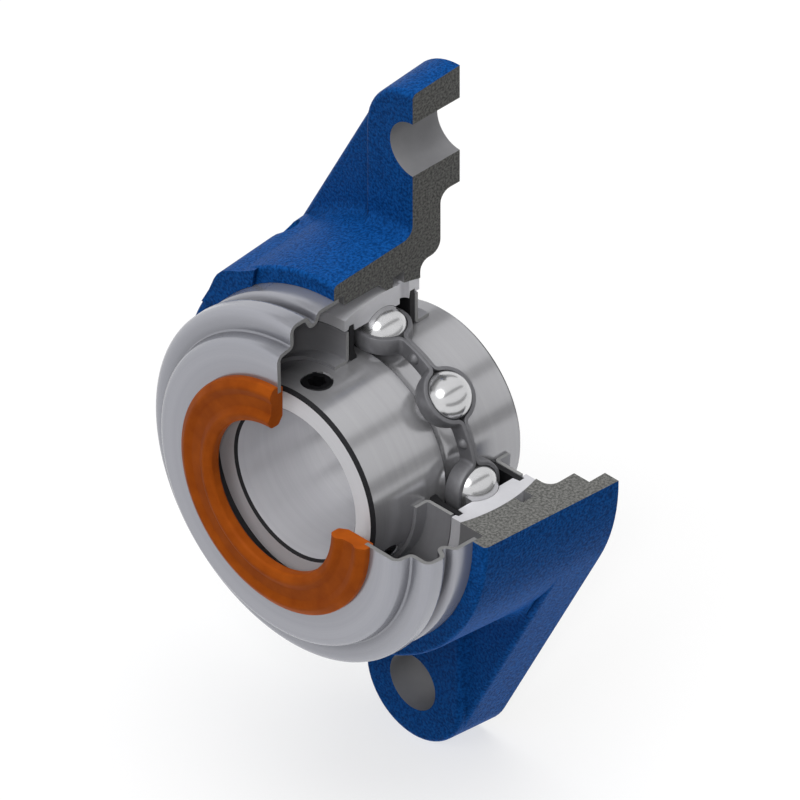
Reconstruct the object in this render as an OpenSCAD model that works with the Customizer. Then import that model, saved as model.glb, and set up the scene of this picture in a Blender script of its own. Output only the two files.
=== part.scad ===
// Oval flange bearing unit with an end cover, cut open over a quarter turn to show its insert.
// Sections are drawn as [radius, distance in front of the mounting face].
// stand() then turns them so that the shaft axis lies along Y, the front faces -Y and Z is up.

/* [Bolting] */
// Distance between the centres of the two bolt holes
bolt_spacing = 117; // [114:1:124]
// Diameter of each bolt hole
bolt_hole_d = 11.5; // [9:0.5:14]
// Radius of the lug ends at the mounting face
lug_r = 12.9; // [12:0.1:15]
// Thickness of the bolt lugs
lug_t = 12; // [11.5:0.5:15]
// How far the webs beside the lugs lie behind the lugs' front
web_step = 1.5; // [0.5:0.25:2]

/* [Housing] */
// Distance from the mounting face to the centre of the bearing
seat_z = 19.8; // [19.2:0.1:22]
// Length of the barrel in front of the bearing centre
barrel_front = 12.2; // [11.5:0.1:14]
// Wall of the barrel around the recess for the end cover
barrel_wall = 3.2; // [2.4:0.1:4.5]
// Draft of the cast outer walls, in degrees
draft = 3.5; // [1:0.5:4.5]
// Rounding of the barrel's front edge
edge_r = 0.9; // [0.4:0.1:1.2]
// Fillet where the barrel meets the flange
root_r = 2.4; // [1:0.2:3.5]
// Width of the rim around the hollow in the mounting side
rim_w = 3.5; // [2.5:0.25:4.5]
// Depth of the hollow in the mounting side, towards the lugs
hollow_depth = 4.9; // [4:0.1:6]
// Depth of that hollow at both sides of the insert
side_depth = 4; // [2.5:0.1:4]
// Distance from the bolt centres to the inner edge of the mounting pads
pad_reach = 12.7; // [9:0.1:13.5]
// Angle of the section that is cut away
cut_angle = 90; // [60:10:110]

/* [Lubrication] */
// Width of the ridge that carries the lubrication hole
ridge_w = 11; // [9:0.5:14]
// Height of that ridge above the barrel
ridge_rise = 1.3; // [0.8:0.1:2]
// Width of the grease groove in the seat
groove_w = 2.8; // [1.5:0.1:3.4]
// Depth of the grease groove below the seat
groove_depth = 2; // [1:0.1:2.6]
// Diameter of the plug in the lubrication hole
plug_d = 6; // [5:0.5:7]

/* [Insert] */
// Diameter of the shaft
shaft_d = 30; // [25:0.5:34]
// Diameter of the balls
ball_d = 9.525; // [8.9:0.025:9.9]
// Number of balls
ball_count = 8; // [6:1:9]
// Diameter of the outer ring's spherical outside
ring_d = 62; // [56:0.5:68]
// Width of the outer ring
ring_w = 19; // [18:0.25:20]
// Inner ring length behind the bearing centre
inner_back = 15.9; // [13.5:0.1:17]
// Inner ring length in front of the bearing centre
inner_front = 22.2; // [20.5:0.1:23]
// Diameter of the set screws
screw_d = 6; // [4:0.5:7]
// Distance from the inner ring's front face to the set screws
screw_setback = 5.6; // [4.5:0.1:6.5]
// Angle between the two set screws
screw_spread = 120; // [60:5:135]

/* [Cage] */
// Thickness of the cage sheet
cage_t = 0.75; // [0.5:0.05:0.9]
// Width of the cage sheet, across the pitch circle
cage_w = 3.5; // [2.5:0.1:4]
// Diameter of the cage rivets
rivet_d = 1.3; // [0.9:0.1:1.6]

/* [Seals and flingers] */
// Thickness of the rubber seals
seal_t = 1.1; // [0.8:0.05:1.3]
// Thickness of the flinger sheet
flinger_t = 0.7; // [0.5:0.05:0.8]
// Length of the flinger collars
collar_l = 2.8; // [1.5:0.1:3.4]

/* [End cover] */
// Thickness of the cover sheet
cover_t = 0.85; // [0.6:0.05:1]
// How far the end cover stands in front of the barrel
cover_reach = 14; // [13.2:0.2:17]
// Thickness of the cover's rubber seal ring
lip_t = 3.4; // [2.8:0.1:4]
// Radial width of the cover's rubber seal ring
lip_w = 8.3; // [7:0.1:9]

/* [Fits] */
// Gap between the outer ring and its seat in the housing
seat_gap = 0.05; // [0.02:0.01:0.08]
// Gap between a ball and each raceway
race_gap = 0.03; // [0.01:0.01:0.05]
// Gap around each ball in the cage
pocket_gap = 0.11; // [0.08:0.01:0.2]
// Running gap between a seal lip and the inner ring
lip_gap = 0.06; // [0.03:0.01:0.1]
// Gap around pieces that are pressed or screwed in
press_gap = 0.02; // [0.01:0.01:0.03]

/* [Hidden] */
$fn = 96;
balls = [for (i = [1 : ball_count]) str("ball_", i)];

// Colours
paint = [0.09, 0.24, 0.55];
steel = [0.70, 0.70, 0.73];
bright = [0.88, 0.88, 0.88];
dark_steel = [0.36, 0.36, 0.38];
blackened = [0.08, 0.08, 0.08];
rubber = [0.14, 0.14, 0.15];
zinc = [0.74, 0.75, 0.78];
brown_rubber = [0.62, 0.29, 0.08];

// Insert: the balls run half way between the shaft and the ring's outside
pitch_r = (shaft_d + ring_d) / 4;
ball_r = ball_d / 2;
race_r = 0.52 * ball_d;
inner_land_r = pitch_r - 0.63 * ball_r;
outer_land_r = pitch_r + 0.714 * ball_r;
ring_r = ring_d / 2;
bore_r = shaft_d / 2;
ball_step = 360 / ball_count;
first_ball = 90;

// Seals and flingers, measured inwards from the outer ring's faces
flinger_s = 0.35;
seal_s = flinger_s + flinger_t + 0.2;
bead_r = outer_land_r + 1.5;
mouth_r = bead_r - 0.7;
bead_play = 0.1;

// Housing, worked out from the insert
seat_r = ring_r + seat_gap;
seat_back = seat_z - ring_w / 2 - 0.25;
seat_front = seat_z + ring_w / 2 + 0.1;
housing_h = seat_z + barrel_front;
recess_r = ring_r + 4.3;
barrel_r = recess_r + barrel_wall;
foot_r = barrel_r + housing_h * tan(draft);
bolt_y = bolt_spacing / 2;
web_t = lug_t - web_step;
pad_y = bolt_y - pad_reach;
lug_edge_r = 0.75 * web_step;
lug_root_r = 0.75 * web_step;
flank_a = asin((foot_r - lug_r) / bolt_y);
flank_l = bolt_y * cos(flank_a);
far = 2 * bolt_spacing;

// Opening behind the seat, with a rounded lip towards each lug
relief_r = ring_r + 2.1;
relief_fillet = 2.2;
lead_shift = 10;
lead_r = 2.5;
lead_out = relief_r - lead_shift + lead_r;

// Notches through which the insert is swung into its seat
notch_w = ring_w + 0.6;
notch_r = ring_r + 2.2;
notch_z = seat_z - 1.1;

// Lubrication
lube_z = seat_z - 4.2;
lube_a = 135;
ridge_z = housing_h - 1.4;
plug_r = plug_d / 2;
plug_l = 5;
plug_top = foot_r - lube_z * tan(draft) + ridge_rise - 0.9;
oil_hole_r = 1.2;
oil_hole_z = -5.7;

// Set screws
screw_r = screw_d / 2;
screw_z = inner_front - screw_setback;
screw_foot = bore_r + 0.2;
screw_top = inner_land_r - 0.1;

// End cover
cover_grip = 1.2;
cover_r = recess_r - press_gap - cover_t / 2;
cover_z = housing_h + cover_reach;
lip_r = bore_r + 0.2;
lip_outer_r = lip_r + lip_w;
lip_groove = 1.4;

// Direction of a vector, and a corner between its two neighbours drawn as an arc
function unit(v) = v / norm(v);
function arc(centre, r, from, turn) =
    let (n = max(2, ceil(abs(turn) / 15)))
    [for (i = [0 : n]) centre + r * [cos(from + turn * i / n), sin(from + turn * i / n)]];
function corner(a, b, c, r) =
    let (
        u = unit(a - b),
        w = unit(c - b),
        half = acos(u * w) / 2,
        centre = b + unit(u + w) * r / sin(half),
        p = b + u * r / tan(half) - centre,
        q = b + w * r / tan(half) - centre,
        from = atan2(p.y, p.x),
        turn = (atan2(q.y, q.x) - from + 540) % 360 - 180
    )
    arc(centre, r, from, turn);
function flat(p) = [p[0], p[1]];

// Outline whose corners are given as [x, y, radius]; a closed one, then one with two ends
function rounded(c) =
    let (n = len(c))
    [for (i = [0 : n - 1]) each
        c[i][2] > 0
            ? corner(flat(c[(i + n - 1) % n]), flat(c[i]), flat(c[(i + 1) % n]), c[i][2])
            : [flat(c[i])]];
function bent(c) =
    let (n = len(c))
    [for (i = [0 : n - 1]) each
        i > 0 && i < n - 1
            ? corner(flat(c[i - 1]), flat(c[i]), flat(c[i + 1]), c[i][2])
            : [flat(c[i])]];

// Section of a sheet of even thickness that follows a bent line
function along(p, i) = unit(p[min(i + 1, len(p) - 1)] - p[max(i - 1, 0)]);
function side(p, i, d) = p[i] + d * [-along(p, i).y, along(p, i).x];
function sheet(p, t) =
    let (n = len(p))
    concat(
        [for (i = [0 : n - 1]) side(p, i, t / 2)],
        [for (i = [n - 1 : -1 : 0]) side(p, i, -t / 2)]
    );

// Frame and section helpers
module stand() {
    rotate([90, 0, 0]) children();
}

module at_insert() {
    stand() translate([0, 0, seat_z]) children();
}

module turned_open() {
    rotate([0, 0, 90]) rotate_extrude(angle = 360 - cut_angle) children();
}

module section_wedge() {
    linear_extrude(far, center = true)
        polygon(concat(
            [[0, 0]],
            [for (i = [0 : 3]) far * [cos(90 - i * cut_angle / 3), sin(90 - i * cut_angle / 3)]]
        ));
}

module both_ends() {
    for (down = [0, 1]) mirror([0, down, 0]) children();
}

module both_sides() {
    for (left = [0, 1]) mirror([left, 0, 0]) children();
}

// Housing
module cast_rim(r, t) {
    polygon(rounded([[0, 0, 0], [r, 0, 0], [r - t * tan(draft), t, lug_edge_r], [0, t, 0]]));
}

module flange_outline(inset) {
    circle(foot_r - inset);
    both_ends() {
        translate([0, bolt_y]) circle(lug_r - inset);
        polygon([
            (foot_r - inset) * [cos(flank_a), sin(flank_a)],
            [0, bolt_y] + (lug_r - inset) * [cos(flank_a), sin(flank_a)],
            [0, bolt_y] + (lug_r - inset) * [-cos(flank_a), sin(flank_a)],
            (foot_r - inset) * [-cos(flank_a), sin(flank_a)],
            [0, 0]
        ]);
    }
}

module flank() {
    rotate([0, 0, flank_a])
        translate([foot_r - lug_r, flank_l, 0])
            rotate([90, 0, 0])
                linear_extrude(flank_l) cast_rim(lug_r, web_t);
}

module flange() {
    rotate_extrude() cast_rim(foot_r, web_t);
    both_ends() {
        both_sides() flank();
        linear_extrude(web_t)
            polygon([
                [0, bolt_y],
                (foot_r - lug_r) * [cos(flank_a), sin(flank_a)],
                [0, 0],
                (foot_r - lug_r) * [-cos(flank_a), sin(flank_a)]
            ]);
    }
}

module lug() {
    translate([0, bolt_y, 0]) {
        rotate_extrude() cast_rim(lug_r, lug_t);
        rotate([90, 0, 0])
            linear_extrude(bolt_y)
                union() {
                    cast_rim(lug_r, lug_t);
                    mirror([1, 0]) cast_rim(lug_r, lug_t);
                }
    }
}

module barrel() {
    rotate_extrude()
        polygon(rounded([
            [0, 0, 0],
            [foot_r, 0, 0],
            [barrel_r, housing_h, edge_r],
            [0, housing_h, 0]
        ]));
}

// Concave ring where the barrel rises from a face at height z
module root_fillet(z) {
    r = foot_r - z * tan(draft);
    curve = corner([2 * r, z], [r, z], [barrel_r, housing_h], root_r);
    top = curve[len(curve) - 1];
    rotate_extrude()
        polygon(concat(
            [[r - root_r, z - 0.5], [curve[0].x, z - 0.5]],
            curve,
            [[r - root_r, top.y]]
        ));
}

// Concave strip where a lug's straight side drops to the web, in line with its rounded edge
module lug_root() {
    both = lug_edge_r + lug_root_r;
    rise = both - web_step;
    reach = sqrt(pow(both, 2) - pow(rise, 2));
    edge_x = lug_r - (lug_t - lug_edge_r) * tan(draft) - lug_edge_r / cos(draft);
    turn = -atan(reach / rise);
    translate([0, bolt_y, 0])
        rotate([90, 0, 0])
            linear_extrude(bolt_y)
                polygon(concat(
                    [[edge_x, web_t - 0.5], [edge_x + reach, web_t - 0.5]],
                    arc([edge_x + reach, web_t + lug_root_r], lug_root_r, 270, turn),
                    [[edge_x, lug_t - lug_edge_r]]
                ));
}

module roots() {
    intersection() {
        union() {
            root_fillet(web_t);
            both_ends() both_sides() lug_root();
        }
        linear_extrude(far) flange_outline(web_t * tan(draft) + lug_edge_r);
    }
    intersection() {
        root_fillet(lug_t);
        translate([0, 0, far / 2])
            cube([2 * (lug_r - lug_t * tan(draft) - lug_edge_r), bolt_spacing, far], center = true);
    }
}

// Low ridge with a round back that carries the lubrication hole
module lube_ridge() {
    half = ridge_w / 2;
    base = sqrt(pow(foot_r, 2) - pow(half, 2));
    low = sqrt(pow(foot_r, 2) - pow(half + 4, 2)) - 0.4;
    peak = foot_r + 1.4 * ridge_rise;
    rotate([0, 0, lube_a - 90])
        rotate([draft, 0, 0])
            linear_extrude(ridge_z)
                polygon(rounded([
                    [-half - 4, low, 0],
                    [-half, base, 4],
                    [0, peak, 1.2 * half],
                    [half, base, 4],
                    [half + 4, low, 0],
                    [0, barrel_r - 6, 0]
                ]));
}

// Hollow in the mounting side, between the rim and the two mounting pads
module hollow() {
    intersection() {
        translate([0, 0, -1]) linear_extrude(housing_h) flange_outline(rim_w);
        rotate([90, 0, 90])
            linear_extrude(far, center = true)
                polygon(rounded([
                    [-pad_y, -1, 0],
                    [-pad_y, hollow_depth, 2.4],
                    [-relief_r + 4, hollow_depth, 6],
                    [-relief_r + 12, side_depth, 6],
                    [relief_r - 12, side_depth, 6],
                    [relief_r - 4, hollow_depth, 6],
                    [pad_y, hollow_depth, 2.4],
                    [pad_y, -1, 0]
                ]));
    }
}

module relief_section() {
    polygon(rounded([
        [0, -1, 0],
        [relief_r, -1, 0],
        [relief_r, seat_back, relief_fillet],
        [0, seat_back, 0]
    ]));
}

module relief() {
    rotate_extrude() relief_section();
    both_ends()
        translate([0, lead_shift, 0])
            rotate_extrude()
                polygon(concat(
                    [[0, -1], [lead_out, -1]],
                    arc([lead_out, hollow_depth + lead_r], lead_r, 270, -90),
                    [[0, hollow_depth + lead_r]]
                ));
}

module seat() {
    rotate_extrude() {
        intersection() {
            translate([0, seat_z]) circle(seat_r);
            translate([0, seat_back - 0.1]) square([ring_d, seat_front - seat_back + 0.2]);
        }
        translate([0, seat_front]) square([recess_r, far]);
        translate([0, lube_z - groove_w / 2]) square([ring_r + groove_depth, groove_w]);
    }
    intersection() {
        rotate_extrude()
            polygon([
                [0, notch_z],
                [ring_r, notch_z],
                [notch_r, notch_z + 1.8],
                [notch_r, seat_front + 0.1],
                [0, seat_front + 0.1]
            ]);
        cube([notch_w, bolt_spacing, far], center = true);
    }
}

module housing() {
    color(paint)
        stand()
            difference() {
                union() {
                    flange();
                    both_ends() lug();
                    barrel();
                    roots();
                    lube_ridge();
                }
                hollow();
                relief();
                seat();
                both_ends()
                    translate([0, bolt_y, -1]) cylinder(d = bolt_hole_d, h = lug_t + 2);
                lube_hole();
                section_wedge();
            }
}

module along_lube_hole() {
    rotate([0, 0, lube_a]) translate([0, 0, lube_z]) rotate([0, 90, 0]) children();
}

module lube_hole() {
    along_lube_hole() {
        cylinder(r = 0.35 * plug_d, h = far);
        translate([0, 0, plug_top - plug_l]) cylinder(r = plug_r + press_gap, h = far);
    }
}

// Plug with a hexagon socket, screwed in flush with the ridge
module lube_plug() {
    color(blackened)
        stand()
            along_lube_hole()
                translate([0, 0, plug_top]) socket_screw(plug_r, plug_l);
}

module socket_screw(r, l) {
    difference() {
        rotate_extrude()
            polygon([
                [0, -l],
                [0.75 * r, -l],
                [r, -l + 0.25 * r],
                [r, -0.12 * r],
                [0.88 * r, 0],
                [0, 0]
            ]);
        translate([0, 0, -0.55 * l]) cylinder(r = 0.58 * r, h = l, $fn = 6);
    }
}

// Rings
module raceway(bottom_r) {
    translate([bottom_r, 0]) circle(race_r);
}

module outer_ring() {
    color(steel)
        at_insert()
            difference() {
                turned_open()
                    difference() {
                        intersection() {
                            circle(ring_r);
                            translate([outer_land_r, -ring_w / 2]) square([ring_r, ring_w]);
                        }
                        raceway(pitch_r + ball_r + race_gap - race_r);
                        for (s = [1, -1])
                            from_face(s) polygon([
                                [outer_land_r - 1, -1],
                                [mouth_r, -1],
                                [mouth_r, seal_s - 0.3],
                                [bead_r, seal_s - 0.1],
                                [bead_r, seal_s + seal_t],
                                [outer_land_r - 1, seal_s + seal_t + 0.4]
                            ]);
                    }
                translate([0, 0, oil_hole_z])
                    rotate([-90, 0, 0]) cylinder(r = oil_hole_r, h = ring_d);
            }
}

// Puts [radius, distance inwards from the ring's face] on the front or the rear face
module from_face(s) {
    if (s > 0)
        translate([0, ring_w / 2]) mirror([0, 1]) children();
    else
        translate([0, -ring_w / 2]) children();
}

module inner_ring() {
    color(steel)
        at_insert()
            difference() {
                rotate_extrude()
                    difference() {
                        polygon([
                            [bore_r, -inner_back + 0.5],
                            [bore_r + 0.5, -inner_back],
                            [inner_land_r - 0.7, -inner_back],
                            [inner_land_r, -inner_back + 0.7],
                            [inner_land_r, inner_front - 0.7],
                            [inner_land_r - 0.7, inner_front],
                            [bore_r + 0.5, inner_front],
                            [bore_r, inner_front - 0.5]
                        ]);
                        raceway(pitch_r - ball_r - race_gap + race_r);
                    }
                for (i = [0, 1])
                    along_screw(i) cylinder(r = screw_r + press_gap, h = pitch_r);
            }
}

module along_screw(i) {
    rotate([0, 0, 90 - i * screw_spread]) translate([0, 0, screw_z]) rotate([0, 90, 0]) children();
}

module set_screw(i) {
    color(blackened)
        at_insert()
            along_screw(i)
                translate([0, 0, screw_top]) socket_screw(screw_r, screw_top - screw_foot);
}

// Balls and cage
module ball(i) {
    color(bright)
        at_insert() at_ball(i) sphere(ball_r);
}

module cage_half(front) {
    pocket_r = ball_r + pocket_gap;
    color(dark_steel)
        at_insert()
            mirror([0, 0, front ? 0 : 1])
                difference() {
                    intersection() {
                        union() {
                            cylinder(r = pitch_r + cage_w, h = cage_t);
                            at_each_ball() sphere(pocket_r + cage_t);
                        }
                        rotate_extrude()
                            translate([pitch_r - cage_w / 2, 0]) square([cage_w, ball_d]);
                    }
                    at_each_ball() sphere(pocket_r);
                    at_each_rivet()
                        cylinder(r = rivet_d / 2 + press_gap, h = ball_d, center = true);
                }
}

module at_ball(i) {
    rotate([0, 0, first_ball - (i - 1) * ball_step]) translate([pitch_r, 0, 0]) children();
}

module at_each_ball() {
    for (i = [1 : ball_count]) at_ball(i) children();
}

// The rivets sit half way between the balls
module at_each_rivet() {
    for (i = [1 : ball_count]) at_ball(i + 0.5) children();
}

module rivet_head() {
    intersection() {
        translate([0, 0, -0.35 * rivet_d]) sphere(0.95 * rivet_d);
        cylinder(r = rivet_d, h = rivet_d);
    }
}

module cage_rivets() {
    color(dark_steel)
        at_insert()
            at_each_rivet() {
                cylinder(d = rivet_d, h = 2 * cage_t, center = true);
                for (flip = [0, 1])
                    mirror([0, 0, flip]) translate([0, 0, cage_t]) rivet_head();
            }
}

// Rubber seal: a bead held in the outer ring, a flat web and a lip on the inner ring
module seal(s) {
    color(rubber)
        at_insert()
            turned_open()
                from_face(s)
                    polygon([
                        [inner_land_r + lip_gap, seal_s + seal_t + 0.7],
                        [inner_land_r + lip_gap, seal_s + 0.4],
                        [inner_land_r + lip_gap + 0.6, seal_s],
                        [mouth_r, seal_s],
                        [bead_r - press_gap, seal_s + bead_play],
                        [bead_r - press_gap, seal_s + seal_t - bead_play],
                        [outer_land_r, seal_s + seal_t],
                        [inner_land_r + 2.2, seal_s + seal_t],
                        [inner_land_r + 0.6, seal_s + seal_t + 0.7]
                    ]);
}

// Flinger: a sheet disc with a collar that is pressed on the inner ring
module flinger(s) {
    inside_r = inner_land_r + press_gap;
    line = bent([
        [mouth_r - 0.5, flinger_s + flinger_t / 2],
        [inside_r + flinger_t / 2, flinger_s + flinger_t / 2, 0.6],
        [inside_r + flinger_t / 2, flinger_s - collar_l]
    ]);
    color(dark_steel)
        at_insert()
            turned_open()
                from_face(s) polygon(sheet(line, flinger_t));
}

// End cover: a pressed sheet cap with a bead, a bulged shoulder and a raised front
module end_cover() {
    line = bent([
        [cover_r, housing_h - cover_grip],
        [cover_r - 0.1, cover_z - 10.2, 0.9],
        [cover_r - 3.3, cover_z - 8.7, 1],
        [cover_r + 0.1, cover_z - 6.8, 1.2],
        [cover_r - 0.1, cover_z - 3.2, 1.4],
        [cover_r - 4.4, cover_z - 3.3, 0.9],
        [cover_r - 5, cover_z + 0.1, 1.3],
        [lip_outer_r - lip_groove, cover_z - 0.1]
    ]);
    color(zinc) stand() turned_open() polygon(sheet(line, cover_t));
}

// Rubber ring that grips the cover's edge and ends in a lip around the shaft
module cover_seal() {
    back = cover_z - 0.9;
    front = back + lip_t;
    slot = cover_t / 2 + press_gap;
    color(brown_rubber)
        stand()
            turned_open()
                polygon(rounded([
                    [lip_r + 1.6, back, 0.5],
                    [lip_outer_r - 0.4, back, 0.3],
                    [lip_outer_r - 0.2, cover_z - 0.1 - slot, 0],
                    [lip_outer_r - lip_groove - press_gap, cover_z - 0.1 - slot, 0],
                    [lip_outer_r - lip_groove - press_gap, cover_z - 0.1 + slot, 0],
                    [lip_outer_r, cover_z - 0.1 + slot, 0],
                    [lip_outer_r, front - 1, 0.8],
                    [lip_outer_r - 1.6, front, 1],
                    [lip_outer_r - 3.1, front - 0.6, 0.8],
                    [lip_r + 3, front - 0.5, 0.8],
                    [lip_r + 1.6, front + 0.4, 1],
                    [lip_r, front - 0.4, 0.9],
                    [lip_r, back + 1, 0.6]
                ]));
}

housing();
lube_plug();
outer_ring();
inner_ring();
for (i = [0, 1])
    set_screw(i);
cage_half(true);  // cage_front
cage_half(false);  // cage_rear
cage_rivets();
for (i = [1 : ball_count])
    ball(i);
seal(1);  // front_seal
seal(-1);  // rear_seal
flinger(1);  // front_flinger
flinger(-1);  // rear_flinger
end_cover();
cover_seal();
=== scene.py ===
"""Oval flange bearing with an end cover, cut open over a quarter turn to show its ball insert."""
import math

import bmesh
import bpy
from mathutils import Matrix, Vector


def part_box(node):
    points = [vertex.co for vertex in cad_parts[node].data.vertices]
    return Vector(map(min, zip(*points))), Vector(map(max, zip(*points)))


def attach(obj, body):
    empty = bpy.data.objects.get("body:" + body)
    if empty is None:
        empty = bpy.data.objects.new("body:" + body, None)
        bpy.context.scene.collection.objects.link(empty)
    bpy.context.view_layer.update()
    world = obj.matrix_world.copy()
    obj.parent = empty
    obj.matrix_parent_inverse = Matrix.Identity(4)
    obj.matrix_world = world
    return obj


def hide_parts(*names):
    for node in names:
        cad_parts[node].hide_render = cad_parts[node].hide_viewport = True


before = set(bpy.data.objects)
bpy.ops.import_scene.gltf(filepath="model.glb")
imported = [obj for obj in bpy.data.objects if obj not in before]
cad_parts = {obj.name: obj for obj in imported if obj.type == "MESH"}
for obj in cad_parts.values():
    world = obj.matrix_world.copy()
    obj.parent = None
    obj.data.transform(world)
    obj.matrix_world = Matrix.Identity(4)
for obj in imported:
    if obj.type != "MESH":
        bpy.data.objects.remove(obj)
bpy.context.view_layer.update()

# Camera
# The bearing is seen from its front, its right and above, square to a corner of its frame.
# The view is parallel, as in a technical drawing, so edges that run side by side stay so.
scene = bpy.context.scene
scene.view_settings.view_transform = "Standard"
view_side = Vector((1, -1, 1)).normalized()
picture_right = Vector((1, 1, 0)).normalized()
picture_up = view_side.cross(picture_right)
picture_centre = -0.01076 * picture_right - 0.00198 * picture_up
picture_width = 0.144
camera_distance = 0.8

camera = bpy.data.objects.new("camera", bpy.data.cameras.new("camera"))
camera.data.type = "ORTHO"
camera.data.ortho_scale = picture_width
camera.location = picture_centre + camera_distance * view_side
camera.rotation_euler = view_side.to_track_quat("Z", "Y").to_euler()
scene.collection.objects.link(camera)
scene.camera = camera


# Floor and light
# A white table carries the lower lug. A broad soft lamp stands straight above it, two weaker ones
# in front, and one below the table, for the hollows and the underside. Dark cards far off to the
# side show only in bright metal, as bands along the shaft.
class Wire:
    """A socket that takes part in Python sums: each sum adds the Math node that works it out."""

    def __init__(self, tree, socket=None):
        self.tree, self.socket = tree, socket

    def node(self, kind, settings=(), sockets=(), output=0):
        """A node of a kind: its settings come first, then the values or links of its sockets."""
        node = self.tree.nodes.new(kind)
        for name, value in dict(settings).items():
            setattr(node, name, value)
        for name, value in dict(sockets).items():
            for one in value if isinstance(value, list) else [value]:
                if isinstance(one, Wire):
                    self.tree.links.new(one.socket, node.inputs[name])
                else:
                    node.inputs[name].default_value = one
        return Wire(self.tree, node.outputs[output] if node.outputs else None)

    def out(self, name):
        """Another output of the node that this wire leaves."""
        return Wire(self.tree, self.socket.node.outputs[name])

    def maths(self, operation, *values):
        return self.node("ShaderNodeMath", {"operation": operation}, enumerate(values))

    def __add__(self, other):
        return self.maths("ADD", self, other)

    def __rsub__(self, other):
        return self.maths("SUBTRACT", other, self)

    def __mul__(self, other):
        return self.maths("MULTIPLY", self, other)

    def __truediv__(self, other):
        return self.maths("DIVIDE", self, other)

    def __pow__(self, other):
        return self.maths("POWER", self, other)

    __radd__ = __add__
    __rmul__ = __mul__

    def between(self, low, high):
        """Runs softly from 0 at low to 1 at high."""
        settings = {"interpolation_type": "SMOOTHSTEP"}
        return self.node("ShaderNodeMapRange", settings, {0: self, 1: low, 2: high})

    def mix(self, low, high):
        """A colour from low, where this is 0, to high, where it is 1."""
        # The mix node has its colour sockets at 6 and 7, and its colour output at 2.
        return self.node("ShaderNodeMix", {"data_type": "RGBA"}, {0: self, 6: low, 7: high}, 2)


def grey(level):
    return (level, level, level, 1)


def material_tree(name):
    """An empty material of a name, and the wire that its nodes start from."""
    material = bpy.data.materials.new(name)
    material.use_nodes = True
    material.node_tree.nodes.clear()
    return material, Wire(material.node_tree)


def seen_plainly(start):
    """1 for what the camera, a mirror or glass shows, and 0 for what lights the bearing."""
    rays = start.node("ShaderNodeLightPath")
    seen = rays.out("Is Camera Ray") + rays.out("Is Glossy Ray") + rays.out("Is Transmission Ray")
    return seen.maths("MINIMUM", seen, 1)


sky_light = 0.07
table_bounce = 0.2
shadow_share = 0.35
table_size = 3

studio = bpy.data.worlds.new("studio")
studio.use_nodes = True
studio.node_tree.nodes.clear()
sky = Wire(studio.node_tree)
sky_colour = seen_plainly(sky).mix(grey(sky_light), grey(1))
background = sky.node("ShaderNodeBackground", {}, {"Color": sky_colour})
sky.node("ShaderNodeOutputWorld", {}, {"Surface": background})
scene.world = studio

table_finish, start = material_tree("white_table")
seen = seen_plainly(start)
paper = start.node("ShaderNodeBsdfDiffuse", {}, {"Color": seen.mix(grey(table_bounce), grey(1))})
glow = start.node("ShaderNodeEmission", {}, {"Color": grey(1)})
both = start.node("ShaderNodeMixShader", {}, {0: seen * (1 - shadow_share), 1: paper, 2: glow})
start.node("ShaderNodeOutputMaterial", {}, {"Surface": both})

table_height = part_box("housing")[0].z
half = table_size / 2
corners = [(-half, -half), (half, -half), (half, half), (-half, half)]
table_mesh = bpy.data.meshes.new("table")
table_mesh.from_pydata([(x, y, table_height) for x, y in corners], [], [range(4)])
table_mesh.materials.append(table_finish)
table = bpy.data.objects.new("table", table_mesh)
table.visible_shadow = False
scene.collection.objects.link(table)


def lamp(name, towards, level, spread, mirrored=False):
    """A broad lamp far away in a direction, which lights a face square to it at that level.

    The spread is its width in degrees, and only a mirrored lamp shows in bright metal.
    """
    light = bpy.data.lights.new(name, "SUN")
    light.energy = level * math.pi
    light.angle = math.radians(spread)
    holder = bpy.data.objects.new(name, light)
    holder.rotation_euler = Vector(towards).to_track_quat("Z", "Y").to_euler()
    holder.visible_glossy = mirrored
    scene.collection.objects.link(holder)


lamp("top_lamp", (0, 0, 1), level=0.7, spread=60)
lamp("front_lamp", (0.15, -1, 1), level=0.3, spread=34, mirrored=True)
lamp("near_lamp", view_side, level=0.28, spread=10)
lamp("under_lamp", (0.10, -0.05, -1), level=0.9, spread=60)

card_level = 0.36
card_distance = 0.6
card_front_y = -0.6
card_back_y = 1.2


def card_stock():
    material, start = material_tree("card_stock")
    flat_grey = start.node("ShaderNodeEmission", {}, {"Color": grey(card_level)})
    start.node("ShaderNodeOutputMaterial", {}, {"Surface": flat_grey})
    return material


def card(name, turn, width):
    """A dark card beside the shaft, turned from straight up and as wide as given, in degrees."""
    out = Vector((math.sin(math.radians(turn)), 0, math.cos(math.radians(turn))))
    across = Vector((out.z, 0, -out.x)) * math.tan(math.radians(width / 2))
    one, other = ((out + side * across) * card_distance for side in (-1, 1))
    front = [(end.x, card_front_y, end.z) for end in (one, other)]
    back = [(end.x, card_back_y, end.z) for end in (other, one)]
    mesh = bpy.data.meshes.new(name)
    mesh.from_pydata(front + back, [], [range(4)])
    mesh.materials.append(dark_card)
    holder = bpy.data.objects.new(name, mesh)
    holder.visible_camera = holder.visible_diffuse = holder.visible_shadow = False
    holder.visible_transmission = False
    scene.collection.objects.link(holder)


dark_card = card_stock()
card("upper_card", turn=-38, width=22)
card("side_card", turn=38, width=12)
card("lower_card", turn=92, width=20)


# Housing
# One iron casting: an oval flange with two bolt lugs, and the barrel that holds the insert.
# It is painted blue as cast; the seat, the bolt holes and the mounting pads are machined bare.
same_corner = 2e-7


def shade_smoothly(work, crease=math.tau):
    """Shades all faces smoothly; an edge that turns by more than the crease stays sharp."""
    for face in work.faces:
        face.smooth = True
    for edge in work.edges:
        edge.smooth = edge.calc_face_angle(math.pi) < crease


def mesh_of(work, name):
    """The mesh that the work has come to; the work is freed."""
    mesh = bpy.data.meshes.new(name)
    work.to_mesh(mesh)
    work.free()
    return mesh


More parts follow.
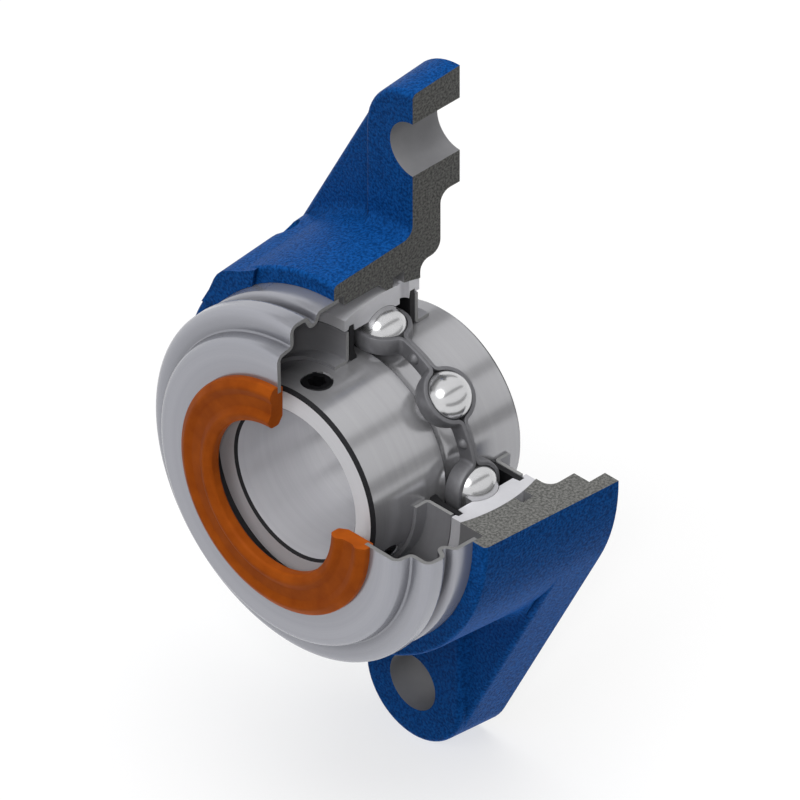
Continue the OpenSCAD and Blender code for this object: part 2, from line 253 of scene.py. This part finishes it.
def smooth_copy(name, materials, finish_of=None, crease=math.radians(30)):
    """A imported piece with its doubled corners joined, shaded smoothly, each face in its finish."""
    work = bmesh.new()
    work.from_mesh(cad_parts[name].data)
    bmesh.ops.remove_doubles(work, verts=work.verts, dist=same_corner)
    shade_smoothly(work, crease)
    for face in work.faces:
        face.material_index = finish_of(face.calc_center_median(), face.normal) if finish_of else 0
    mesh = mesh_of(work, name + "_finished")
    for material in materials:
        mesh.materials.append(material)
    piece = bpy.data.objects.new(name + "_finished", mesh)
    scene.collection.objects.link(piece)
    even = piece.modifiers.new("even_normals", "WEIGHTED_NORMAL")
    even.keep_sharp = True
    even.mode = "FACE_AREA_WITH_ANGLE"
    return piece


def seat_piece(piece, body, slot, *nodes):
    """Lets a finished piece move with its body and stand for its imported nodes."""
    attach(piece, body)
    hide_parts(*nodes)


def surface(start, **sockets):
    """Closes a material with its main shader; words in a socket's name are joined by underscores."""
    named = {name.replace("_", " "): value for name, value in sockets.items()}
    shader = start.node("ShaderNodeBsdfPrincipled", {}, named)
    start.node("ShaderNodeOutputMaterial", {}, {"Surface": shader})


def own_place(start):
    return start.node("ShaderNodeTexCoord", output="Object")


def noise(start, place, scale, detail=2.0, roughness=0.5):
    sockets = {"Vector": place, "Scale": scale, "Detail": detail, "Roughness": roughness}
    return start.node("ShaderNodeTexNoise", {}, sockets)


def bump(start, height, distance, strength):
    return start.node("ShaderNodeBump", {}, {"Strength": strength, "Distance": distance, "Height": height})


def painted_shade_openness(start, reach):
    """1 on open faces, less in the grooves and roots of the same piece, as far out as the reach: the mask
    for painted shade.
    """
    settings = {"samples": 6, "only_local": True}
    return start.node("ShaderNodeAmbientOcclusion", settings, {"Distance": reach}, "AO")


def cast_paint():
    """Blue enamel that keeps the sand grain of the casting, with painted shade that darkens it in its
    roots.
    """
    material, start = material_tree("cast_paint")
    place = own_place(start)
    grain = noise(start, place, scale=1900, detail=4, roughness=0.6)
    swell = noise(start, place, scale=380)
    # Painted shade: in the roots and grooves the blue runs down to a near-black blue.
    free_of_painted_shade = painted_shade_openness(start, reach=0.003).between(0.35, 1.0)
    on_open = grain.between(0.30, 0.70).mix((0.002, 0.032, 0.135, 1), (0.008, 0.092, 0.348, 1))
    surface(
        start,
        Base_Color=free_of_painted_shade.mix((0.001, 0.016, 0.068, 1), on_open),
        Roughness=0.5 - 0.12 * grain,
        Specular_IOR_Level=0.02,
        Normal=bump(start, grain + 0.6 * swell, distance=0.0002, strength=0.8),
    )
    return material


def sawn_iron():
    """Cast iron where the quarter was cut away: dull, with the grain torn open by the cutter."""
    material, start = material_tree("sawn_iron")
    grain = noise(start, own_place(start), scale=2000, detail=4, roughness=0.65)
    surface(
        start,
        Base_Color=grain.between(0.34, 0.68).mix((0.075, 0.075, 0.072, 1), (0.205, 0.205, 0.196, 1)),
        Roughness=0.7,
        Specular_IOR_Level=0.1,
        Normal=bump(start, grain, distance=0.00006, strength=0.6),
    )
    return material


def bored_iron():
    """Iron turned bright, with the fine rings of the tool."""
    material, start = material_tree("bored_iron")
    along_shaft = (60, 4200, 60)
    stretched = start.node("ShaderNodeMapping", {}, {"Vector": own_place(start), "Scale": along_shaft})
    lines = noise(start, stretched, scale=1)
    surface(
        start,
        Base_Color=lines.mix((0.24, 0.24, 0.25, 1), (0.31, 0.31, 0.32, 1)),
        Metallic=0.4,
        Roughness=0.42,
        Normal=bump(start, lines, distance=0.00001, strength=0.4),
    )
    return material


def drilled_iron():
    """Iron in a drilled hole: smooth and grey."""
    material, start = material_tree("drilled_iron")
    mottle = noise(start, own_place(start), scale=500, detail=3)
    surface(
        start,
        Base_Color=mottle.mix((0.20, 0.20, 0.21, 1), (0.24, 0.24, 0.25, 1)),
        Metallic=0.2,
        Roughness=0.5,
    )
    return material


PAINT, SAWN, BORED, DRILLED = range(4)
flat_enough = 0.999
hair = 5e-6
bolt_height = 0.0585
bolt_reach = 0.0061
seat_reach = 0.0354
seat_front_y = -0.0319
seat_back_y = -0.00995


def housing_finish(centre, normal):
    """The finish of a face of the casting, by where it lies and which way it faces."""
    from_axis = math.hypot(centre.x, centre.z)
    if normal.x > flat_enough and abs(centre.x) < hair and centre.z > 0:
        return SAWN
    if normal.z > flat_enough and abs(centre.z) < hair and centre.x > 0:
        return SAWN
    if math.hypot(centre.x, abs(centre.z) - bolt_height) < bolt_reach:
        return DRILLED
    if from_axis < seat_reach and seat_front_y < centre.y < seat_back_y:
        return BORED
    if normal.y > flat_enough and centre.y > -hair:
        return BORED
    return PAINT


iron = [cast_paint(), sawn_iron(), bored_iron(), drilled_iron()]
housing = smooth_copy("housing", iron, housing_finish)
seat_piece(housing, "housing", "housing_paint", "housing")


# Lubrication plug and set screws
# Blackened steel screws with a hexagon socket. One closes the lubrication hole in the housing's
# ridge, and two hold the inner ring on the shaft.
def blackened_steel():
    material, start = material_tree("blackened_steel")
    mottle = noise(start, own_place(start), scale=1500, detail=3)
    surface(
        start,
        Base_Color=mottle.mix((0.006, 0.006, 0.007, 1), (0.018, 0.018, 0.020, 1)),
        Metallic=0.7,
        Roughness=0.32 + 0.2 * mottle,
    )
    return material


black_screw = blackened_steel()
screws = {"lube_plug": "housing", "set_screw_1": "inner_ring", "set_screw_2": "inner_ring"}
for screw, body in screws.items():
    seat_piece(smooth_copy(screw, [black_screw]), body, "blackened_steel", screw)


# Outer ring and inner ring
# Hardened bearing steel, ground bright on every running and seating face.
# The inner ring's chamfers aren't ground, so their sharp edges keep the black of the furnace.
def shaft_place(start):
    """Where a spot lies, as its x, y and z and its distance from the shaft axis."""
    parts = start.node("ShaderNodeSeparateXYZ", {}, {"Vector": own_place(start)})
    x, y, z = parts.out("X"), parts.out("Y"), parts.out("Z")
    return x, y, z, (x * x + z * z) ** 0.5


def shaft_rings(start, fineness, spread):
    """Lines in rings around the shaft axis, so fine to the metre; the spread breaks them up."""
    x, y, z, radius = shaft_place(start)
    sockets = {"X": radius * fineness, "Y": y * fineness, "Z": x * spread}
    rings = start.node("ShaderNodeCombineXYZ", {}, sockets)
    sockets = {"Vector": rings, "W": z * spread, "Scale": 1.0, "Detail": 2.0}
    return start.node("ShaderNodeTexNoise", {"noise_dimensions": "4D"}, sockets)


def ground_steel(name, dark, light, metal, roughness):
    """Ground steel, with the fine rings of the grinding wheel."""
    material, start = material_tree(name)
    fine = shaft_rings(start, fineness=7000, spread=40)
    broad = shaft_rings(start, fineness=900, spread=12)
    lines = 0.5 * fine + 0.5 * broad
    surface(
        start,
        Base_Color=lines.mix(dark, light),
        Metallic=metal,
        Roughness=roughness - 0.05 + 0.1 * lines,
        Normal=bump(start, fine, distance=0.000004, strength=0.3),
    )
    return material


rubbed_from = (0.0160, 0.0161)
black_from = (0.01864, 0.01872)


def furnace_black():
    """Black scale at the bore and at the ring's outer edge, rubbed bright in between."""
    material, start = material_tree("furnace_black")
    mottle = noise(start, own_place(start), scale=2500, detail=3)
    *_, radius = shaft_place(start)
    rubbed = radius.between(*rubbed_from) * (1 - radius.between(*black_from))
    scale = mottle.mix((0.010, 0.010, 0.012, 1), (0.026, 0.026, 0.028, 1))
    surface(
        start,
        Base_Color=rubbed.mix(scale, grey(0.5)),
        Roughness=0.6,
        Specular_IOR_Level=0.1,
    )
    return material


RUNNING, END, BORE, BLACK = range(4)
bore_reach = 0.0152
insert_y = -0.0198
end_reach = 0.0145
chamfer_tilt, end_tilt = 0.5, 0.9


def ring_finish(centre, normal):
    """The finish of a face of the inner ring, by where it lies and which way it faces. The ends and the
    bore get lighter copies of the steel, with painted light.
    """
    tilt = abs(normal.y)
    if tilt > end_tilt:
        return END
    if math.hypot(centre.x, centre.z) < bore_reach and tilt < chamfer_tilt:
        return BORE
    near_end = abs(centre.y - insert_y) > end_reach
    return BLACK if near_end and tilt > chamfer_tilt else RUNNING


running_steel = ground_steel(
    "running_steel", (0.345, 0.345, 0.36, 1), (0.475, 0.475, 0.49, 1), metal=0.6, roughness=0.2
)
# A lighter, rougher and less metallic copy for the inner ring's end faces and the whole outer ring. The
# rougher grind is the steel's own; the lighter colour is painted light, brightening faces that lie in
# shade.
end_steel = ground_steel(
    "end_steel", (0.56, 0.56, 0.59, 1), (0.70, 0.70, 0.73, 1), metal=0.25, roughness=0.34
)
# A lighter copy again for the bore: painted light inside the bore, where the rings and the cover keep
# light out.
bore_steel = ground_steel(
    "bore_steel", (0.58, 0.58, 0.61, 1), (0.78, 0.78, 0.81, 1), metal=0.4, roughness=0.24
)
ring_steels = [running_steel, end_steel, bore_steel, furnace_black()]
seat_piece(smooth_copy("outer_ring", [end_steel]), "outer_ring", "ring_steel", "outer_ring")
inner_ring = smooth_copy("inner_ring", ring_steels, ring_finish)
seat_piece(inner_ring, "inner_ring", "ring_steel", "inner_ring")


# Balls
# Eight chrome-steel balls, hardened, ground and lapped bright.
# Each rolls between the grooves of the two rings, in its own cage pocket.
weld_distance = 1e-6


def shaft_circle_tree():
    """Sets copies of a piece out evenly around the shaft, the first one turned from straight up."""
    tree = bpy.data.node_groups.new("shaft_circle", "GeometryNodeTree")
    kinds = {"Piece": "Geometry", "Count": "Int", "First angle": "Float", "Material": "Material"}
    for name, kind in kinds.items():
        tree.interface.new_socket(name, in_out="INPUT", socket_type="NodeSocket" + kind)
    tree.interface.new_socket("Result", in_out="OUTPUT", socket_type="NodeSocketGeometry")
    start = Wire(tree)
    given = start.node("NodeGroupInput")
    piece, count, first, material = (given.out(name) for name in kinds)
    sockets = {"Count": count, "Offset": (0, 0, 0)}
    seats = start.node("GeometryNodeMeshLine", {"mode": "OFFSET"}, sockets)
    angle = first + start.node("GeometryNodeInputIndex") * math.tau / count
    around_shaft = start.node("ShaderNodeCombineXYZ", {}, {"Y": angle})
    turn = start.node("FunctionNodeEulerToRotation", {}, {"Euler": around_shaft})
    sockets = {"Points": seats, "Instance": piece, "Rotation": turn}
    copies = start.node("GeometryNodeInstanceOnPoints", {}, sockets)
    whole = start.node("GeometryNodeRealizeInstances", {}, {"Geometry": copies})
    sockets = {"Geometry": whole, "Distance": weld_distance}
    joined = start.node("GeometryNodeMergeByDistance", {}, sockets)
    finished = start.node("GeometryNodeSetMaterial", {}, {"Geometry": joined, "Material": material})
    start.node("NodeGroupOutput", {}, {"Result": finished})
    return tree


def grown(name, mesh, tree, **inputs):
    """An object whose mesh is what a tree makes of the given one; _ stands for a space in a name."""
    piece = bpy.data.objects.new(name, mesh)
    scene.collection.objects.link(piece)
    grower = piece.modifiers.new("grower", "NODES")
    grower.node_group = tree
    for socket in tree.interface.items_tree:
        wanted = socket.name.replace(" ", "_")
        if socket.in_out == "INPUT" and wanted in inputs:
            grower[socket.identifier] = inputs[wanted]
    evaluated = piece.evaluated_get(bpy.context.evaluated_depsgraph_get())
    result = bpy.data.meshes.new_from_object(evaluated)
    piece.modifiers.remove(grower)
    work = bmesh.new()
    work.from_mesh(result)
    bmesh.ops.recalc_face_normals(work, faces=work.faces)
    work.to_mesh(result)
    work.free()
    piece.data = result
    return piece


def chrome_steel():
    material, start = material_tree("chrome_steel")
    film = noise(start, own_place(start), scale=260)
    surface(
        start,
        Base_Color=film.mix((0.52, 0.52, 0.53, 1), (0.64, 0.64, 0.65, 1)),
        Metallic=0.9,
        Roughness=0.17 + 0.05 * film,
    )
    return material


ball_count = 8
ball_step = math.tau / ball_count
shaft_circle = shaft_circle_tree()
lapped_steel = chrome_steel()
low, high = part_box("ball_1")

work = bmesh.new()
bmesh.ops.create_icosphere(work, subdivisions=5, radius=(high - low).z / 2)
bmesh.ops.translate(work, verts=work.verts, vec=(low + high) / 2)
shade_smoothly(work)
top_ball = mesh_of(work, "top_ball")

for place in range(ball_count):
    node = f"ball_{place + 1}"
    ball = grown(
        node + "_lapped", top_ball, shaft_circle,
        Count=1, First_angle=place * ball_step, Material=lapped_steel,
    )
    seat_piece(ball, node, "ball_steel", node)


# Cage
# Two ribbons of sheet steel, pressed into a pocket over each ball and flat between the pockets.
# They are riveted together through the flats.
def cage_sheet():
    material, start = material_tree("cage_sheet")
    mottle = noise(start, own_place(start), scale=900, detail=3)
    surface(
        start,
        Base_Color=mottle.mix((0.12, 0.12, 0.13, 1), (0.18, 0.18, 0.19, 1)),
        Metallic=0.4,
        Roughness=0.40 + 0.1 * mottle,
    )
    return material


pitch_radius = 0.023
sheet_thickness = 0.00075
ribbon_width = 0.0035
pocket_radius = 0.0048725
fold_radius = 0.0008
edge_rounding = 0.00014
dome_steps, fold_steps, flat_steps = 12, 6, 3

fold_reach = pocket_radius + sheet_thickness + fold_radius
fold_height = sheet_thickness + fold_radius
fold_turn = math.acos(fold_height / fold_reach)
fold_distance = fold_reach * math.sin(fold_turn)


def ribbon_line(radius, depth):
    """Angles and heights along half a ribbon segment, at one radius and one depth in the sheet."""

    def angle_at(distance):
        cosine = (radius**2 + pitch_radius**2 - distance**2) / (2 * radius * pitch_radius)
        return math.acos(min(1, cosine))

    dome = pocket_radius + depth
    crown = math.asin(abs(radius - pitch_radius) / dome)
    line = []
    for step in range(dome_steps + 1):
        tilt = crown + (fold_turn - crown) * step / dome_steps
        line.append((angle_at(dome * math.sin(tilt)), dome * math.cos(tilt)))
    bend = fold_reach - dome
    for step in range(1, fold_steps + 1):
        tilt = fold_turn * (1 - step / fold_steps)
        line.append((angle_at(fold_distance - bend * math.sin(tilt)), fold_height - bend * math.cos(tilt)))
    flat_from = line[-1][0]
    for step in range(1, flat_steps + 1):
        line.append((flat_from + (ball_step / 2 - flat_from) * step / flat_steps, depth))
    return line


def ribbon_rim():
    """The section of the ribbon as radii and depths, with its four edges rounded."""
    between_edges = (0.6, 0.2, -0.2, -0.6)
    middle_r, middle_d = pitch_radius, sheet_thickness / 2
    half_r, half_d = ribbon_width / 2 - edge_rounding, sheet_thickness / 2 - edge_rounding
    rim = []
    for side_r, side_d, first in ((1, 1, 0), (-1, 1, 90), (-1, -1, 180), (1, -1, 270)):
        for tilt in (first, first + 30, first + 60, first + 90):
            around = math.radians(tilt)
            rim.append((
                middle_r + side_r * half_r + edge_rounding * math.cos(around),
                middle_d + side_d * half_d + edge_rounding * math.sin(around),
            ))
        if side_r == side_d:
            face = middle_d + side_d * sheet_thickness / 2
            rim += [(middle_r + side_r * half_r * part, face) for part in between_edges]
    return rim


def ribbon_segment(name, side):
    """One pocket of a ribbon with half a flat on each side; side is -1 in front and 1 behind."""
    work = bmesh.new()
    columns = []
    for radius, depth in ribbon_rim():
        line = ribbon_line(radius, depth)
        both = [(-angle, height) for angle, height in reversed(line[1:])] + line
        columns.append([
            work.verts.new((radius * math.sin(angle), insert_y + side * height, radius * math.cos(angle)))
            for angle, height in both
        ])
    for here, there in zip(columns, columns[1:] + columns[:1]):
        for step in range(len(here) - 1):
            work.faces.new((here[step], here[step + 1], there[step + 1], there[step]))
    shade_smoothly(work)
    return mesh_of(work, name)


def rivet():
    """A rivet with a low round head on each side, above the middle of the pitch circle."""
    shank, dome, sunk = 0.00065, 0.001235, 0.000455
    head_steps, around_steps, crease = 6, 24, math.radians(40)
    rim_tilt = math.acos(sunk / dome)
    outline = []
    for step in range(head_steps + 1):
        tilt = rim_tilt * step / head_steps
        outline.append((dome * math.sin(tilt), sheet_thickness - sunk + dome * math.cos(tilt)))
    outline.append((shank, sheet_thickness))
    outline += [(reach, -height) for reach, height in reversed(outline)]
    work = bmesh.new()
    spots = [work.verts.new((reach, insert_y - height, pitch_radius)) for reach, height in outline]
    edges = [work.edges.new(pair) for pair in zip(spots, spots[1:])]
    centre = (0, insert_y, pitch_radius)
    sorting = Vector((1, 10, 100))
    full_turn = {"cent": centre, "axis": (0, 1, 0), "angle": math.tau, "steps": around_steps}
    bmesh.ops.spin(work, geom=spots + edges, **full_turn)
    bmesh.ops.remove_doubles(work, verts=work.verts, dist=weld_distance)
    # The weld leaves a chance order, so corners and faces are put in one that stays the same.
    work.verts.sort(key=lambda corner: corner.co.dot(sorting))
    work.faces.sort(key=lambda face: face.calc_center_median().dot(sorting))
    shade_smoothly(work, crease)
    return mesh_of(work, "rivet")


sheet_steel = cage_sheet()
for node, side in (("cage_front", -1), ("cage_rear", 1)):
    segment = ribbon_segment(node + "_segment", side)
    ribbon = grown(
        node + "_ribbon", segment, shaft_circle, Count=ball_count, First_angle=0.0, Material=sheet_steel
    )
    seat_piece(ribbon, "cage", "cage_steel", node)
rivets = grown(
    "rivets", rivet(), shaft_circle, Count=ball_count, First_angle=ball_step / 2, Material=sheet_steel
)
seat_piece(rivets, "cage", "cage_steel", "cage_rivets")


# Seals and flingers
# Moulded rubber seals are held in the outer ring's grooves and close the gap to the inner ring.
# The flingers, bent from sheet steel and pressed on the inner ring, turn in front of them.
def open_turning_tree():
    """Sweeps a flat outline of radii and depths around the shaft and closes both cut ends."""
    tree = bpy.data.node_groups.new("open_turning", "GeometryNodeTree")
    kinds = {
        "Outline": "Geometry", "Steps": "Int", "First angle": "Float", "Sweep": "Float",
        "Crease": "Float", "Material": "Material", "Cut material": "Material",
    }
    for name, kind in kinds.items():
        tree.interface.new_socket(name, in_out="INPUT", socket_type="NodeSocket" + kind)
    tree.interface.new_socket("Result", in_out="OUTPUT", socket_type="NodeSocketGeometry")
    start = Wire(tree)
    given = start.node("NodeGroupInput")
    outline, steps, first, sweep, crease, material, cut_material = (given.out(name) for name in kinds)

    def swung(spot, angle):
        parts = start.node("ShaderNodeSeparateXYZ", {}, {"Vector": spot})
        radius, depth = parts.out("X"), parts.out("Y")
        x, z = radius * angle.maths("SINE", angle), radius * angle.maths("COSINE", angle)
        return start.node("ShaderNodeCombineXYZ", {}, {"X": x, "Y": depth, "Z": z})

    size = start.node("GeometryNodeAttributeDomainSize", {"component": "MESH"}, {"Geometry": outline})
    corners = size.out("Point Count")
    rows = corners + 1
    sheet = start.node("GeometryNodeMeshGrid", {}, {"Vertices X": steps + 1, "Vertices Y": rows})
    index, spot = start.node("GeometryNodeInputIndex"), start.node("GeometryNodeInputPosition")
    row = index.maths("MODULO", index.maths("MODULO", index, rows), corners)
    column = index.maths("FLOOR", index / rows)
    settings = {"data_type": "FLOAT_VECTOR", "domain": "POINT"}
    sockets = {"Geometry": outline, "Value": spot, "Index": row}
    sample = start.node("GeometryNodeSampleIndex", settings, sockets)
    turned = swung(sample, first + sweep * column / steps)
    wall = start.node("GeometryNodeSetPosition", {}, {"Geometry": sheet, "Position": turned})
    ends = [
        start.node("GeometryNodeSetPosition", {}, {"Geometry": outline, "Position": swung(spot, angle)})
        for angle in (first, first + sweep)
    ]
    both_ends = start.node("GeometryNodeJoinGeometry", {}, {"Geometry": ends})
    settings = {"data_type": "BOOLEAN", "domain": "FACE"}
    sockets = {"Geometry": both_ends, "Name": "cut", "Value": True}
    marked = start.node("GeometryNodeStoreNamedAttribute", settings, sockets)
    whole = start.node("GeometryNodeJoinGeometry", {}, {"Geometry": [wall, marked]})
    sockets = {"Geometry": whole, "Distance": weld_distance}
    joined = start.node("GeometryNodeMergeByDistance", {}, sockets)
    sockets = {"Geometry": joined, "Shade Smooth": True}
    smooth = start.node("GeometryNodeSetShadeSmooth", {"domain": "FACE"}, sockets)
    fold = start.node("GeometryNodeInputMeshEdgeAngle")
    sockets = {"Geometry": smooth, "Shade Smooth": fold.maths("LESS_THAN", fold, crease)}
    creased = start.node("GeometryNodeSetShadeSmooth", {"domain": "EDGE"}, sockets)
    loose = start.node("GeometryNodeRealizeInstances", {}, {"Geometry": creased})
    skin = start.node("GeometryNodeSetMaterial", {}, {"Geometry": loose, "Material": material})
    is_cut = start.node("GeometryNodeInputNamedAttribute", {"data_type": "BOOLEAN"}, {"Name": "cut"})
    sockets = {"Geometry": skin, "Selection": is_cut, "Material": cut_material}
    finished = start.node("GeometryNodeSetMaterial", {}, sockets)
    start.node("NodeGroupOutput", {}, {"Result": finished})
    return tree


def arcs(corners, closed=True, turn=math.radians(8)):
    """Points along corners of (radius, depth, bend radius) in millimetres; each bend is an arc."""
    points = []
    for place, (radius, depth, bend) in enumerate(corners):
        here = Vector((radius, depth))
        if not bend or not (closed or 0 < place < len(corners) - 1):
            points.append(here)
            continue
        before = (Vector(corners[place - 1][:2]) - here).normalized()
        after = (Vector(corners[(place + 1) % len(corners)][:2]) - here).normalized()
        half_angle = before.angle(after) / 2
        centre = here + (before + after).normalized() * bend / math.sin(half_angle)
        arms = [here + way * bend / math.tan(half_angle) - centre for way in (before, after)]
        from_angle, to_angle = (math.atan2(arm.y, arm.x) for arm in arms)
        swing = (to_angle - from_angle + 3 * math.pi) % math.tau - math.pi
        steps = max(2, math.ceil(abs(swing) / turn))
        for step in range(steps + 1):
            angle = from_angle + swing * step / steps
            points.append(centre + bend * Vector((math.cos(angle), math.sin(angle))))
    return points


def sheet_around(line, thickness):
    """The outline of a sheet of even thickness that follows a line."""
    sides = []
    for place, spot in enumerate(line):
        way = (line[min(place + 1, len(line) - 1)] - line[max(place - 1, 0)]).normalized()
        sides.append((spot, thickness / 2 * Vector((-way.y, way.x))))
    return [spot + off for spot, off in sides] + [spot - off for spot, off in reversed(sides)]


millimetre = 0.001
turn_steps = 108
cut_edge = math.radians(90)
part_left = math.radians(270)
turned_crease = math.radians(35)


def turned_piece(name, outline, material, cut_material):
    """A turned piece with its quarter open; the outline is in millimetres from the mounting face."""
    work = bmesh.new()
    corners = [(radius * millimetre, -depth * millimetre, 0) for radius, depth in outline]
    work.faces.new([work.verts.new(corner) for corner in corners])
    return grown(
        name + "_turned", mesh_of(work, name + "_outline"), open_turning,
        Steps=turn_steps, First_angle=cut_edge, Sweep=part_left, Crease=turned_crease,
        Material=material, Cut_material=cut_material,
    )


def seal_rubber():
    material, start = material_tree("seal_rubber")
    mottle = noise(start, own_place(start), scale=1200, detail=3)
    surface(
        start,
        Base_Color=mottle.mix((0.004, 0.004, 0.005, 1), (0.012, 0.012, 0.013, 1)),
        Roughness=0.6,
        Specular_IOR_Level=0.3,
    )
    return material


def flinger_sheet():
    material, start = material_tree("flinger_sheet")
    lines = shaft_rings(start, fineness=1500, spread=30)
    mottle = noise(start, own_place(start), scale=700, detail=3)
    surface(
        start,
        Base_Color=(0.6 * lines + 0.4 * mottle).mix((0.25, 0.25, 0.265, 1), (0.33, 0.33, 0.35, 1)),
        Metallic=0.3,
        Roughness=0.42,
    )
    return material


def sheared_sheet(name, level):
    """Sheet steel where it was cut through, at a plain grey of that level."""
    material, start = material_tree(name)
    mottle = noise(start, own_place(start), scale=2500, detail=3)
    surface(
        start,
        Base_Color=mottle.mix(grey(0.8 * level), grey(1.2 * level)),
        Metallic=0.3,
        Roughness=0.5,
    )
    return material


open_turning = open_turning_tree()
rubber, flinger_steel = seal_rubber(), flinger_sheet()
flinger_cut = sheared_sheet("flinger_cut", level=0.3)
flinger_thickness = 0.7
insert_depth = -insert_y / millimetre
half_ring = 9.5
seal_section = [
    (20.06, 3.05), (20.06, 1.65), (20.66, 1.25), (27.2, 1.25), (27.88, 1.35), (27.88, 2.25),
    (26.4, 2.35), (22.2, 2.35), (20.6, 3.05),
]
flinger_line = arcs([(26.7, 0.7, 0), (20.37, 0.7, 0.6), (20.37, -2.45, 0)], closed=False)


def at_ring_end(section, side):
    """A section given by its depths inwards from an end of the outer ring, put at that end."""
    return [Vector((radius, insert_depth + side * (half_ring - inwards))) for radius, inwards in section]


for end, side in (("front", 1), ("rear", -1)):
    seal = turned_piece(end + "_seal", at_ring_end(seal_section, side), rubber, rubber)
    seat_piece(seal, "outer_ring", "seal_rubber", end + "_seal")
    bent_sheet = sheet_around(at_ring_end(flinger_line, side), flinger_thickness)
    flinger = turned_piece(end + "_flinger", bent_sheet, flinger_steel, flinger_cut)
    seat_piece(flinger, "inner_ring", "flinger_steel", end + "_flinger")


# End cover
# A deep cap pressed from bright sheet and snapped into the barrel. Its shoulder is bulged out,
# and its front is raised around the rubber ring.
def bright_sheet():
    material, start = material_tree("bright_sheet")
    fine = shaft_rings(start, fineness=2600, spread=8)
    broad = shaft_rings(start, fineness=300, spread=2)
    lines = 0.3 * fine + 0.7 * broad
    # Painted shade: in the cap's folds and grooves the bright sheet runs down to a dark grey.
    free_of_painted_shade = painted_shade_openness(start, reach=0.004).between(0.35, 1.0)
    on_open = lines.mix((0.27, 0.275, 0.305, 1), (0.43, 0.435, 0.475, 1))
    surface(
        start,
        Base_Color=free_of_painted_shade.mix((0.10, 0.10, 0.115, 1), on_open),
        Metallic=0.6,
        Roughness=0.20 + 0.1 * lines,
    )
    return material


cover_thickness = 0.85
cover_line = arcs([
    (34.855, 30.8, 0), (34.755, 35.8, 0.9), (31.555, 37.3, 1), (34.955, 39.2, 1.2),
    (34.755, 42.8, 1.4), (30.455, 42.7, 0.9), (29.855, 46.1, 1.3), (22.1, 45.9, 0),
], closed=False)
cover_cut = sheared_sheet("cover_cut", level=0.22)
pressed_sheet = sheet_around(cover_line, cover_thickness)
cover = turned_piece("end_cover", pressed_sheet, bright_sheet(), cover_cut)
seat_piece(cover, "housing", "cover_sheet", "end_cover")


# Rubber ring of the end cover
# Orange-brown rubber that grips the cover's edge, with two ridges and a lip towards the shaft.
def brown_rubber():
    material, start = material_tree("brown_rubber")
    mottle = noise(start, own_place(start), scale=300, detail=3)
    # Painted shade: in the ring's grooves the orange-brown runs down to a dark brown.
    free_of_painted_shade = painted_shade_openness(start, reach=0.005).between(0.40, 1.0)
    on_open = mottle.mix((0.21, 0.038, 0.004, 1), (0.44, 0.098, 0.009, 1))
    surface(
        start,
        Base_Color=free_of_painted_shade.mix((0.07, 0.009, 0.002, 1), on_open),
        Roughness=0.45,
        Specular_IOR_Level=0.04,
    )
    return material


ring_section = arcs([
    (16.8, 45.1, 0.5), (23.1, 45.1, 0.3), (23.3, 45.455, 0), (22.08, 45.455, 0), (22.08, 46.345, 0),
    (23.5, 46.345, 0), (23.5, 47.5, 0.8), (21.9, 48.5, 1), (20.4, 47.9, 0.8), (18.2, 48, 0.8),
    (16.8, 48.9, 1), (15.2, 48.1, 0.9), (15.2, 46.1, 0.6),
])
orange = brown_rubber()
rubber_ring = turned_piece("cover_seal", ring_section, orange, orange)
seat_piece(rubber_ring, "housing", "brown_rubber", "cover_seal")
